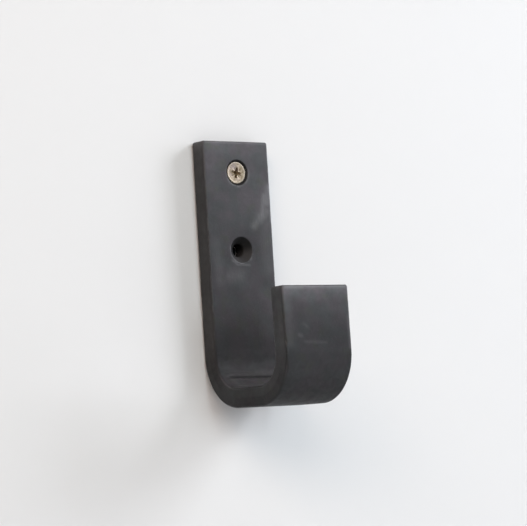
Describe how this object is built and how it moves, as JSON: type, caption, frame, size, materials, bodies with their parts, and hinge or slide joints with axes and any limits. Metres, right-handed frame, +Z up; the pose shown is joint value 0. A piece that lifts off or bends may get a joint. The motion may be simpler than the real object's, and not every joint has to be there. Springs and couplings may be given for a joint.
{
  "type": "wall hook",
  "caption": "J-shaped wall hook bent from thick dark flat bar, with countersunk screw holes in its back plate and a cross-recess wood screw.",
  "frame": {"origin": "on the wall face of the back plate, half-way between the two screw holes", "axes": "+Y into the wall, +Z up, +X to the right for someone facing the wall; the hook stands out towards -Y"},
  "size_m": [0.033, 0.0986, 0.11],
  "materials": {
    "blackened_iron": "satin",
    "passivated_steel": "satin"
  },
  "bodies": {
    "hook": {"hook_bar": "blackened_iron"},
    "screw": {"upper_screw": "passivated_steel"}
  },
  "joints": [
    {"name": "upper_screw_withdraw", "type": "slide", "parent": "hook", "child": "screw", "axis": [0, -1, 0], "range_m": [0, 0.055]}
  ]
}
